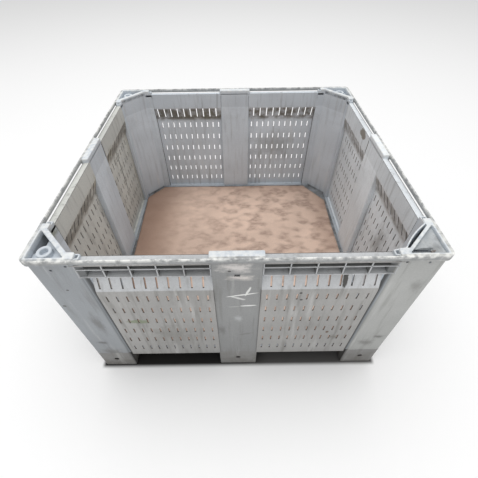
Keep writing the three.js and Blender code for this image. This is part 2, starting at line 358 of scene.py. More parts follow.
def crossing(outline: Array, centre: Array, angle: Array) -> Array:
    """How far rays from a centre go before they cross a closed outline.

    Each ray and edge are two lines; the cross products of their directions give how far along
    each they meet, and the nearest meeting that lies on its edge counts.
    """
    start = outline - centre
    edge = np.roll(outline, -1, axis=0) - outline
    ray = np.stack([np.cos(angle), np.sin(angle)], axis=-1)
    across = ray[:, None, 0] * edge[None, :, 1] - ray[:, None, 1] * edge[None, :, 0]
    across = np.where(np.abs(across) < 1e-9, 1e-9, across)
    reach = (start[None, :, 0] * edge[None, :, 1] - start[None, :, 1] * edge[None, :, 0]) / across
    share = (start[None, :, 0] * ray[:, None, 1] - start[None, :, 1] * ray[:, None, 0]) / across
    hit = (share > -1e-3) & (share < 1.001) & (reach > 0)
    return np.where(hit, reach, 1e9).min(axis=1)


# Meshes
def placed(name: str, data: bpy.types.ID) -> bpy.types.Object:
    """A new object at the origin that shows some data."""
    thing = bpy.data.objects.new(name, data)
    bpy.context.scene.collection.objects.link(thing)
    return thing


@dataclass
class Piece:
    """One shown piece: patches made a mesh, with its thickness, rounded edges, finish and role."""

    name: str
    patches: list[Patch]
    material: Material
    thickness: float = 0.0
    bevel: float = 0.0
    edge_material: Material | None = None
    slot: Slot = Slot.PLASTIC
    node: str = "box_body"

    def build(self) -> bpy.types.Object:
        """Makes the object, joins coincident points, and hides the frame's part that it stands for.

        Returns:
            The finished object at the origin.
        """
        points, quads, caps, start = [], [], [], 0
        for patch in self.patches:
            points.append(patch.points)
            quads.append(patch.quads + start)
            caps += [cap + start for cap in patch.caps]
            start += len(patch.points)
        every = np.concatenate(points)
        _, first, group = np.unique(np.round(every, 3), axis=0, return_index=True, return_inverse=True)
        group = group.reshape(-1)
        faces = self._without_repeats(group[np.concatenate(quads)])
        faces += [group[cap].tolist() for cap in caps]
        used, renumbered = np.unique(np.concatenate([np.asarray(f) for f in faces]), return_inverse=True)
        ends = np.cumsum([len(f) for f in faces])[:-1]
        shape = bpy.data.meshes.new(self.name)
        shape.from_pydata((every[first][used] * MM).tolist(), [], [f.tolist() for f in np.split(renumbered, ends)])
        shape.validate()
        shape.shade_smooth()
        shape.materials.append(self.material)
        thing = placed(self.name, shape)
        self._finish(thing)
        return thing

    @staticmethod
    def _without_repeats(quads: Array) -> list[list[int]]:
        """Four-sided faces as lists, with those that have a side of no length as triangles."""
        repeat = quads == np.roll(quads, -1, axis=1)
        count = repeat.sum(axis=1)
        triangles = quads[count == 1][~repeat[count == 1]].reshape(-1, 3)
        return quads[count == 0].tolist() + triangles.tolist()

    def _finish(self, thing: bpy.types.Object) -> None:
        """Adds thickness and rounded edges, and fastens the piece to the frame."""
        if self.thickness:
            wall = thing.modifiers.new("thickness", "SOLIDIFY")
            wall.thickness = self.thickness * MM
            wall.offset = -1.0
            wall.use_even_offset = True
            if self.edge_material:
                thing.data.materials.append(self.edge_material)
                wall.material_offset_rim = 1
        if self.bevel:
            edge = thing.modifiers.new("rounded_edges", "BEVEL")
            edge.width = self.bevel * MM
            edge.segments = 2
            edge.limit_method = "ANGLE"
            edge.angle_limit = math.radians(38)
            edge.harden_normals = True
        else:
            thing.data.set_sharp_from_angle(angle=math.radians(34))
        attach(thing, "root")
        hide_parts(self.node)
        LOG.info("%s: %d points, %d faces", self.name, len(thing.data.vertices), len(thing.data.polygons))


# Finishes
def linear(tone: Tone) -> tuple[float, float, float, float]:
    """A colour in screen values from 0 to 255, as the linear colour that a shader socket takes."""
    c = np.asarray(tone, float) / 255
    c = np.where(c <= 0.04045, c / 12.92, ((c + 0.055) / 1.055) ** 2.4)
    return float(c[0]), float(c[1]), float(c[2]), 1.0


class Shading:
    """A material's node tree, with one short method for each kind of step."""

    def __init__(self, name: str) -> None:
        """Starts a tree that ends in one principled shader, with the coordinates at hand."""
        self.material = bpy.data.materials.new(name)
        self.material.use_nodes = True
        self.tree = self.material.node_tree
        self.tree.nodes.clear()
        new = self.tree.nodes.new
        self.shader = new("ShaderNodeBsdfPrincipled")
        self.fill(new("ShaderNodeOutputMaterial"), {0: self.shader.outputs[0]})
        self.place = new("ShaderNodeTexCoord").outputs["Object"]
        self.x, self.y, self.z = self.fill(new("ShaderNodeSeparateXYZ"), {0: self.place}).outputs
        self.off_x, self.off_y = self.math("ABSOLUTE", self.x), self.math("ABSOLUTE", self.y)

    def fill(self, node: bpy.types.Node, values: dict[int | str, object]) -> bpy.types.Node:
        """Fills a node's inputs, each with another node's output or a plain value.

        Args:
            node: the node.
            values: what goes in, by the input's number or name.

        Returns:
            The same node.
        """
        for key, value in values.items():
            socket = node.inputs[key]
            if isinstance(value, Socket):
                self.tree.links.new(value, socket)
            else:
                socket.default_value = tuple(value)[:3] if socket.type == "VECTOR" else value
        return node

    def mapped(self, place: Tone, turn: Tone, size: Tone) -> Socket:
        """Object coordinates centred on a place, turned back and divided by a size."""
        node = self.tree.nodes.new("ShaderNodeMapping")
        node.vector_type = "TEXTURE"
        values = {"Vector": self.place, "Location": place, "Rotation": turn, "Scale": size}
        return self.fill(node, values).outputs[0]

    def noise(self, scale: float, detail: float = 3.0, vector: Socket | None = None, rough: float = 0.55) -> Socket:
        """Noise from 0 to 1 at a scale, on object coordinates or a given vector."""
        values = {"Vector": vector or self.place, "Scale": scale, "Detail": detail, "Roughness": rough}
        return self.fill(self.tree.nodes.new("ShaderNodeTexNoise"), values).outputs[0]

    def stretched(self, start: Tone, turn: float, size: Tone, detail: float) -> Socket:
        """Noise on coordinates moved, turned about the upright axis and divided by three sizes."""
        return self.noise(1.0, detail, self.mapped(start, (0.0, 0.0, turn), size))

    def span(self, value: Socket, low: float, high: float, first: float = 0.0, last: float = 1.0) -> Socket:
        """Takes low..high to first..last with level ends, held outside."""
        node = self.tree.nodes.new("ShaderNodeMapRange")
        node.interpolation_type = "SMOOTHSTEP"
        values = {"Value": value, "From Min": low, "From Max": high, "To Min": first, "To Max": last}
        return self.fill(node, values).outputs[0]

    def math(self, kind: str, a: object, b: object = 0.0) -> Socket:
        """One step of arithmetic, such as ADD, MULTIPLY or MAXIMUM."""
        node = self.tree.nodes.new("ShaderNodeMath")
        node.operation = kind
        return self.fill(node, {0: a, 1: b}).outputs[0]

    def times(self, first: object, *others: object) -> Socket:
        """Product of two or more values."""
        for other in others:
            first = self.math("MULTIPLY", first, other)
        return first

    def length(self, vector: Socket) -> Socket:
        """Length of a vector."""
        node = self.tree.nodes.new("ShaderNodeVectorMath")
        node.operation = "LENGTH"
        return self.fill(node, {0: vector}).outputs["Value"]

    def blend(self, under: object, over: object, amount: object) -> Socket:
        """Mixes two colours by an amount from 0 to 1."""
        node = self.tree.nodes.new("ShaderNodeMix")
        node.data_type = "RGBA"
        return self.fill(node, {0: amount, 6: under, 7: over}).outputs[2]

    def scaled(self, colour: object, factor: Socket) -> Socket:
        """A colour made lighter or darker by a factor."""
        node = self.tree.nodes.new("ShaderNodeVectorMath")
        node.operation = "SCALE"
        return self.fill(node, {0: colour, "Scale": factor}).outputs[0]

    def surface(self, colour: object, roughness: Socket, mirror: float) -> None:
        """Sets the shader's colour, roughness and mirror strength."""
        self.fill(self.shader, {"Base Color": colour, "Roughness": roughness, "Specular IOR Level": mirror})

    def relief(self, height: Socket, strength: float, distance: float) -> None:
        """Fine relief from a height."""
        values = {"Strength": strength, "Distance": distance, "Height": height}
        self.fill(self.shader, {"Normal": self.fill(self.tree.nodes.new("ShaderNodeBump"), values).outputs[0]})


@dataclass(frozen=True)
class Mark:
    """A stain, scrape or dark speck: an ellipsoid round a place, with a ragged edge."""

    place: Tone
    size: Tone
    tone: Tone
    strength: float = 0.8
    ragged: float = 0.5
    grain: float = 3.5
    lean: float = 0.0

    def lay(self, sh: Shading, colour: object) -> Socket:
        """Mixes the mark's tone over a colour.

        The distance from the place, in parts of the size, has a share of noise added. Cover falls
        from the mark's strength to none between 0.7, or 0.1 for a faint mark, and 0.95, both moved
        out by half that share.
        """
        near = sh.mapped(self.place, (0.0, math.radians(self.lean), 0.0), self.size)
        away = sh.math("ADD", sh.length(near), sh.times(sh.noise(self.grain, 5.0, near, 0.7), self.ragged))
        core = (0.7 if self.strength > 0.6 else 0.1) + self.ragged / 2
        cover = sh.span(away, core, 0.95 + self.ragged / 2, self.strength, 0.0)
        return sh.blend(colour, linear(self.tone), cover)


@dataclass(frozen=True)
class PlasticFinish:
    """Worn grey moulded plastic: mottled, streaked down, dirty low down and whitened on top.

    The masks are in metres, on object coordinates; outer_skin is in millimetres.
    """

    name: str
    tone: Tone
    inner_tone: Tone = (214.0, 221.0, 228.0)
    mottle: float = 0.10
    streaks: float = 0.35
    whitening: float = 0.8
    slope_dirt: float = 0.0
    outer_skin: float = 10.5
    marks: tuple[Mark, ...] = ()

    def _inside(self, sh: Shading) -> Socket:
        """One where a surface lies inward of the box's outer skin, and nought on that skin."""
        edges = ((sh.off_x, WIDTH), (sh.off_y, DEPTH))
        return sh.math("MINIMUM", *(sh.span(off, (size / 2 - self.outer_skin) * MM - 0.0005,
                                            (size / 2 - self.outer_skin) * MM + 0.0005, 1.0, 0.0)
                                    for off, size in edges))

    def _streaks(self, sh: Shading, inside: Socket) -> Iterator[tuple[Tone, Socket]]:
        """Upright dark streaks, weaker inside, then pale washed ones: tone and cover of each."""
        down = sh.stretched((0.0, 0.0, 0.0), 0.0, (0.018, 0.018, 0.22), 5.0)
        yield STREAK, sh.times(sh.span(down, 0.50, 0.74), sh.span(inside, 0.0, 1.0, self.streaks, 0.6 * self.streaks))
        yield WASHED, sh.span(sh.stretched((3.1, 0.7, 0.0), 0.0, (0.03, 0.03, 0.35), 4.0), 0.56, 0.80, 0.0, 0.45)

    def _dirt_and_painted_shade(self, sh: Shading, inside: Socket) -> Iterator[tuple[Tone, Socket]]:
        """Layers of dirt and painted shade in the order in which they lie: tone and cover of each.

        They are the ground dirt low down, the painted shade and dirt in the joints beside the panels, the line round
        the floor, the dust on the panels' slopes and the painted shade in the pockets under the rim.
        """
        yield GROUND_DIRT, sh.times(sh.span(sh.z, 0.20, 0.02), sh.span(sh.noise(14.0, 4.0), 0.3, 0.7, 0.18, 0.6),
                                    sh.span(inside, 0.0, 1.0, 1.0, 0.4))
        walls = ((sh.off_x, sh.off_y), (sh.off_y, sh.off_x))
        for (along, across), (place, wall) in zip(walls, JOINTS):
            past = sh.math("SUBTRACT", along, place)
            # Painted shade with some dirt: a dark strip in the channel beside each column, below the band.
            yield JOINT_SHADE_AND_DIRT, sh.times(sh.span(past, 0.027, 0.006), sh.span(past, -0.001, 0.001),
                                       sh.span(across, wall - 0.002, wall + 0.002),
                                       sh.span(sh.z, BAND_FOOT, BAND_FOOT - 0.010), 0.92)
        yield FLOOR_DIRT, sh.times(inside, sh.span(sh.z, 0.152, 0.138), sh.span(sh.off_x, LINER_X + 0.006, LINER_X),
                                   sh.span(sh.off_y, LINER_Y + 0.006, LINER_Y),
                                   sh.span(sh.noise(22.0, 4.0), 0.25, 0.75, 0.5, 0.9))
        yield SLOPE_DUST, sh.times(inside, sh.span(sh.z, 0.596, 0.625), sh.span(sh.z, 0.694, 0.680),
                                   sh.span(sh.noise(26.0, 4.0), 0.3, 0.6, 0.1, self.slope_dirt))
        for (along, across), (end, back, front) in zip(walls, POCKETS):
            yield POCKET_SHADE, sh.times(sh.span(across, back - 0.001, back + 0.001),
                                         sh.span(across, front + 0.0005, front - 0.0015),
                                         sh.span(along, end + 0.002, end), sh.span(along, 0.079, 0.081),
                                         sh.span(sh.z, 0.6965, 0.6985), sh.span(sh.z, 0.764, 0.762), 0.85)

    def material(self) -> Material:
        """Makes the material: the tones, then streaks, dirt and painted shade, wear on top, and the marks.

        Returns:
            The material, on object coordinates.
        """
        sh = Shading(self.name)
        inside, broad, fine = self._inside(sh), sh.noise(3.5, 5.0), sh.noise(240.0, 2.0)
        colour = sh.blend(linear(self.tone), linear(self.inner_tone), inside)
        colour = sh.scaled(colour, sh.span(broad, 0.25, 0.75, 1 - self.mottle, 1 + self.mottle))
        for tone, cover in self._streaks(sh, inside):
            colour = sh.blend(colour, linear(tone), cover)
        colour = sh.scaled(colour, sh.span(fine, 0.2, 0.8, 0.94, 1.06))
        for tone, cover in self._dirt_and_painted_shade(sh, inside):
            colour = sh.blend(colour, linear(tone), cover)
        colour = sh.scaled(colour, sh.span(sh.z, 0.12, 0.70, 0.86, 1.0))
        # Painted shade: inward of the outer skin, everything above the band's lower edge is made 13 per cent darker.
        band = sh.times(inside, sh.span(sh.z, BAND_FOOT - 0.010, BAND_FOOT))
        colour = sh.scaled(colour, sh.span(band, 0.0, 1.0, 1.0, 0.87))
        worn = sh.times(sh.span(sh.z, 0.772, 0.786), sh.span(sh.noise(52.0, 5.0), 0.32, 0.64),
                        sh.span(sh.y, -0.545, -0.566, 0.78 * self.whitening, self.whitening))
        colour = sh.blend(colour, linear(SCUFFED), worn)
        for mark in self.marks:
            colour = mark.lay(sh, colour)
        sh.surface(colour, sh.span(broad, 0.3, 0.7, 0.5, 0.72), 0.3)
        sh.relief(sh.math("ADD", sh.times(fine, 0.3), sh.noise(60.0, 4.0)), 0.18, 0.0015)
        return sh.material


@dataclass(frozen=True)
class BoardFinish:
    """Brown board, damp and darker at the edges, with soft faded patches in rows."""

    name: str
    tone: Tone = (214.0, 188.0, 171.0)

    def material(self) -> Material:
        """Makes the material.

        Returns:
            The material, on object coordinates.
        """
        sh = Shading(self.name)
        broad = sh.noise(4.0, 5.0)
        colour = sh.scaled(linear(self.tone), sh.span(broad, 0.25, 0.75, 0.86, 1.12))
        rows = sh.stretched((0.0, 0.0, 0.0), 0.06, (0.085, 0.058, 1.0), 1.0)
        bars = sh.stretched((0.0, 0.0, 0.0), 0.03, (0.030, 0.016, 1.0), 2.0)
        edge = sh.math("MAXIMUM", sh.span(sh.off_x, 0.38, 0.58), sh.span(sh.off_y, 0.38, 0.56))
        for tone, cover in ((FADED_PRINT, sh.times(sh.span(rows, 0.40, 0.64), sh.span(bars, 0.25, 0.75, 0.25, 0.66),
                                                   sh.span(sh.x, -0.45, 0.10, 0.35, 1.0))),
                            (DAMP_EDGE, sh.times(edge, sh.span(sh.noise(7.0, 5.0), 0.3, 0.65, 0.10, 0.50))),
                            (DAMP_SIDE, sh.span(sh.x, -0.26, -0.50, 0.0, 0.7))):
            colour = sh.blend(colour, linear(tone), cover)
        colour = sh.scaled(colour, sh.span(sh.noise(220.0, 2.0), 0.2, 0.8, 0.93, 1.07))
        sh.surface(colour, sh.span(broad, 0.3, 0.7, 0.8, 0.95), 0.15)
        sh.relief(sh.math("ADD", sh.noise(9.0, 3.0), sh.times(rows, 0.2)), 0.35, 0.004)
        return sh.material


# Walls
SLOPE_BEND = np.array([-9.0, -6.0, -3.0, 0.0, 3.0, 7.0])
POCKET_LINES = (691.5, 694.0, 697.0, 700.0, 735.0)


def edges_of(places: Array, width: float) -> Array:
    """The two edges of an opening of this width at each place."""
    return (places[:, None] + np.array([-1, 1]) * width / 2).ravel()


def within(values: Array, places: Array, width: float) -> Array:
    """Which values lie inside an opening of this width at one of the places."""
    return (np.abs(values[:, None] - places) < width / 2).any(axis=1)


@dataclass
class VentedWall:
    """One wall's two vented panels, each with its slope, the pocket back above and its rail."""

    side: Side
    material: Material
    # The finish of the vents' cut sides, dark with painted shade and some dirt.
    edge_material: Material
    face: float = 4.0
    skin: float = 4.4
    start: float = 76.0
    corner: float = 161.5
    slope_low: float = 612.0
    slope_high: float = 693.6
    back: float = 29.2
    vent_first: float = 95.7
    vent_last_margin: float = 24.8
    vent_width: float = 5.5
    vent_height: float = 33.0
    row_top: float = 576.0
    row_step: float = 76.0
    rows: int = 6
    long_first: float = 106.0
    long_margin: float = 16.0
    long_low: float = 629.0
    long_high: float = 689.0

    def counts(self) -> tuple[int, int]:
        """Short and long vents side by side in one panel."""
        return (10, 9) if self.side.value % 2 else (11, 10)

    def depth(self, z: Array) -> Array:
        """Depth of the outside skin at a height: upright, then the slope, then upright again."""
        rise = (self.back - self.face) / (self.slope_high - self.slope_low)
        return self.face + rise * (soft_ramp(z - self.slope_low, 7.0) - soft_ramp(z - self.slope_high, 5.0))

    def panel(self, sign: int) -> Patch:
        """One vented half: a grid whose lines are the edges of its vents, faces left out there.

        Args:
            sign: 1 for the half at the wall's far end, -1 for the other.

        Returns:
            The skin, without its thickness.
        """
        short, long = self.counts()
        end = self.side.half - self.corner
        edge = end - 2.0
        places = np.linspace(self.vent_first, edge - self.vent_last_margin, short)
        long_places = np.linspace(self.long_first, edge - self.long_margin, long)
        heights = self.row_top - self.row_step * np.arange(self.rows)
        s = np.sort(np.concatenate([[self.start, 82.0], edges_of(places, self.vent_width),
                                    edges_of(long_places, self.vent_width), [end - 3.0, end - 1.0, end, end]]))
        z = np.sort(np.concatenate([[SKIN_BOTTOM, 133.0], edges_of(heights, self.vent_height),
                                    self.slope_low + SLOPE_BEND, [self.long_low, self.long_high - 20, self.long_high],
                                    POCKET_LINES, [SKIN_TOP]]))
        s_mid, z_mid = (s[1:] + s[:-1]) / 2, (z[1:] + z[:-1]) / 2
        in_column, in_row = within(s_mid, places, self.vent_width), within(z_mid, heights, self.vent_height)
        in_long = within(s_mid, long_places, self.vent_width)
        in_slope = (z_mid > self.long_low) & (z_mid < self.long_high)
        keep = ~((in_column[:, None] & in_row[None, :]) | (in_long[:, None] & in_slope[None, :]))
        depth = np.broadcast_to(self.depth(z), (s.size, z.size)).copy()
        depth[-1] = np.minimum(depth[-1] + 14.0, INNER_FACE - 1)
        along = np.broadcast_to(s[:, None], depth.shape)
        flat = on_wall(self.side, sign * along, depth, z[None, :])
        bow = bumps(flat, 420.0, 11 + self.side.value)
        points = on_wall(self.side, sign * along, depth + 0.8 * bow, z[None, :])
        return facing_out(grid(points, keep), (0.0, 0.0, 400.0))

    def band(self, sign: int) -> list[Patch]:
        """Ribs round the rim pockets, the grooved ledge above and the rail below one panel."""
        end = self.side.half - 140.0
        cell = (end - 78.0) / 5

        def bar(s0: float, s1: float, d: tuple[float, float], z: tuple[float, float]) -> Patch:
            """A bar of this half of the wall."""
            return slab(self.side, tuple(sorted((sign * s0, sign * s1))), d, z)

        made = [bar(76.0, end + 4, (8.0, 31.0), (693.0, 697.0)), bar(76.0, end + 4, (8.0, 31.0), (731.0, 735.0)),
                bar(74.0, end + 8, (3.0, 31.0), (757.5, 761.0)),
                bar(76.0, self.side.half - 163.0, (4.0, 18.0), (130.0, 136.2))]
        made += [bar(78 + i * cell - 2, 78 + i * cell + 2, (8.0, 31.0), (693.5, 760.0)) for i in range(6)]
        made.append(self.ledge(sign, 72.0, end + 8))
        return made

    def ledge(self, sign: int, low: float, high: float) -> Patch:
        """Strip on top of the band: a rounded section of depth and height carried along the wall."""
        section = np.array([[12.0, 758.0], [12.0, 765.5], [13.0, 768.2], [15.5, 769.6], [23.0, 770.0], [30.0, 769.7],
                            [32.2, 768.6], [33.0, 766.0], [33.0, 757.0], [29.5, 757.0], [29.5, 758.0]])
        s = sign * np.linspace(low, high, 24)
        rings = on_wall(self.side, s[:, None], section[None, :, 0], section[None, :, 1])
        wear = bumps(rings, 60.0, 5)
        rings[..., 2] -= 0.7 * wear * (section[None, :, 1] > 765)
        return loft(rings)

    def build(self) -> None:
        """Makes the wall's two pieces."""
        name = self.side.name.lower()
        Piece(f"{name}_vented_panels", [self.panel(-1), self.panel(1)], self.material, self.skin, 0.5,
              self.edge_material).build()
        Piece(f"{name}_rim_ribs", self.band(-1) + self.band(1), self.material).build()


@dataclass
class RimLip:
    """Thin lip all round the top: a rounded section carried along a rectangle with round corners."""

    material: Material
    thickness: float = 5.0
    low: float = 769.0
    radius: float = 20.0
    step: float = 18.0

    def path(self) -> tuple[Array, Array]:
        """Points of the outside edge seen from above, with their outward directions."""
        points, normals = [], []
        hx, hy = WIDTH / 2 - self.radius, DEPTH / 2 - self.radius
        centres = ((-hx, -hy), (hx, -hy), (hx, hy), (-hx, hy))
        turn = np.linspace(0, math.pi / 2, 7)
        for q, (cx, cy) in enumerate(centres):
            angle = turn + (q + 2) * math.pi / 2
            out = np.stack([np.cos(angle), np.sin(angle)], axis=-1)
            arc = np.array([cx, cy]) + self.radius * out
            after = np.array(centres[(q + 1) % 4]) + self.radius * out[-1]
            count = int(np.linalg.norm(after - arc[-1]) / self.step)
            share = np.linspace(0, 1, count + 1)[1:-1, None]
            points += [arc, arc[-1] + (after - arc[-1]) * share]
            normals += [out, np.repeat(out[-1:], count - 1, axis=0)]
        return np.concatenate(points), np.concatenate(normals)

    def build(self) -> None:
        """Makes the lip, its top edge nicked and its faces a little uneven."""
        path, out = self.path()
        section = rounded_box((0.0, self.thickness), (self.low, HEIGHT), 1.8)
        depth, height = section[:, 0], section[:, 1]
        flat = path[:, None, :] - out[:, None, :] * depth[None, :, None]
        points = np.concatenate([flat, np.broadcast_to(height[None, :, None], flat.shape[:2] + (1,))], axis=-1)
        nick = np.clip(waves(points, 47.0, 3) - 0.25, 0, 1) * 3.2 + bumps(points, 210.0, 4) * 0.8
        points[..., 2] -= nick * (height > HEIGHT - 6)
        inward = bumps(points, 160.0, 6) * 0.7
        points[..., :2] -= out[:, None, :] * inward[..., None]
        patch = grid(points, wrap=True)
        ring = grid(points.transpose(1, 0, 2)[[-1, 0]].transpose(1, 0, 2), wrap=True)
        patch = facing_out(patch, (0.0, 0.0, 776.0))
        ring.quads = ring.quads if self._same_way(patch, ring) else ring.quads[:, ::-1]
        Piece("rim_lip", [patch, ring], self.material).build()

    @staticmethod
    def _same_way(skin: Patch, ring: Patch) -> bool:
        """Whether the closing strip looks outward as the skin does, by the lip's enclosed volume."""
        def volume(p: Patch) -> float:
            """Six times the volume under the faces, from triple products of their corners."""
            c = p.points[p.quads]
            return float((c[:, 0] * np.cross(c[:, 1], c[:, 2])).sum() + (c[:, 0] * np.cross(c[:, 2], c[:, 3])).sum())
        return abs(volume(skin) + volume(ring)) <= abs(volume(skin) - volume(ring))


# Posts, columns and feet
@dataclass
class CentrePost:
    """A wall's middle post with the raised pad on top and the foot below."""

    side: Side
    material: Material
    foot_material: Material
    half_low: float = 81.0
    half_high: float = 76.0
    pad_half: float = 80.0
    skin: float = 4.0
    slot_half: float = 8.5
    slot: tuple[float, float] = (689.0, 701.0)
    foot_reach: float = 140.0

    def tube(self) -> Patch:
        """The post: a rounded outline carried upward while its half width falls in a straight line.

        Returns:
            The outside skin, with the slot left out of its face.
        """
        face = np.array([-70.0, -50.0, -30.0, -self.slot_half, self.slot_half, 30.0, 50.0, 70.0])
        ring = rounded_box((-78.0, 78.0), (COLUMN_FACE - 0.4, INNER_FACE), 4.0)
        ring = np.concatenate([ring[:4], level(face, COLUMN_FACE - 0.4), ring[4:]])
        z = np.concatenate([[SKIN_BOTTOM], np.linspace(150, 680, 14), self.slot, [720.0, 745.0, SKIN_TOP]])
        width = (self.half_low + (self.half_high - self.half_low) * z / 770) / 78
        s = np.where(np.abs(ring[:, 0])[:, None] > 60, ring[:, 0][:, None] * width, ring[:, 0][:, None])
        d = np.broadcast_to(ring[:, 1][:, None], s.shape)
        height = np.broadcast_to(z, s.shape)
        flat = on_wall(self.side, s, d, height)
        uneven = bumps(flat, 260.0, 31 + self.side.value) * 0.9 * (d < 12)
        points = on_wall(self.side, s, d + uneven, height)
        keep = np.ones((ring.shape[0], z.size - 1), bool)
        slot_row = np.searchsorted(z, self.slot[0])
        keep[4 + 3, slot_row] = False
        centre = on_wall(self.side, 0.0, 20.0, 450.0)
        return facing_out(grid(points, keep, wrap=True), tuple(centre))

    def foot(self) -> Patch:
        """The side foot: a cup with rounded base edges and a round hole in its outside face."""
        across = merged_lines(np.linspace(-70, 70, 8), hole_lines(0.0, FOOT_HOLE_RADIUS))
        ring = rounded_box((-80.0, 80.0), (COLUMN_FACE, self.foot_reach), 6.0)
        ring = np.concatenate([ring[:4], level(across, COLUMN_FACE), ring[4:]])
        return cup(ring, ((0, 1),), 0.0, lambda a, b, z: on_wall(self.side, a, b, z), (0.0, 74.0, 65.0))

    def pad(self) -> Patch:
        """The raised pad: a rounded block with a worn top edge."""
        outline = rounded_box((-self.pad_half, self.pad_half), (1.0, INNER_FACE), 4.0, 4)
        extra = np.linspace(-70, 70, 12)
        outline = np.concatenate([outline[:5], level(extra, 1.0), outline[5:15],
                                  level(extra[::-1], INNER_FACE), outline[15:]])
        z, inset = eased_levels(PAD_BOTTOM, HEIGHT, 0.0, 3.0, np.array([772.0, 779.0]))
        rings = np.stack([on_wall(self.side, *shrunk(outline, i).T, h) for h, i in zip(z, inset)])
        worn = bumps(rings, 33.0, 41 + self.side.value) * 1.4
        rings[..., 2] -= worn * (rings[..., 2] > 780)
        return loft(rings)

    def build(self) -> None:
        """Makes the post's three pieces."""
        name = self.side.name.lower()
        Piece(f"{name}_centre_post", [self.tube()], self.material, self.skin, ROUNDED).build()
        Piece(f"{name}_post_pad", [self.pad()], self.material).build()
        Piece(f"{name}_middle_foot", [self.foot()], self.foot_material, FOOT_SKIN, ROUNDED).build()


@dataclass(frozen=True)
class FaceHole:
    """A small round hole in a corner column: which face, the place from the corner, height, radius."""

    on_first: bool
    along: float
    height: float
    radius: float = 4.5


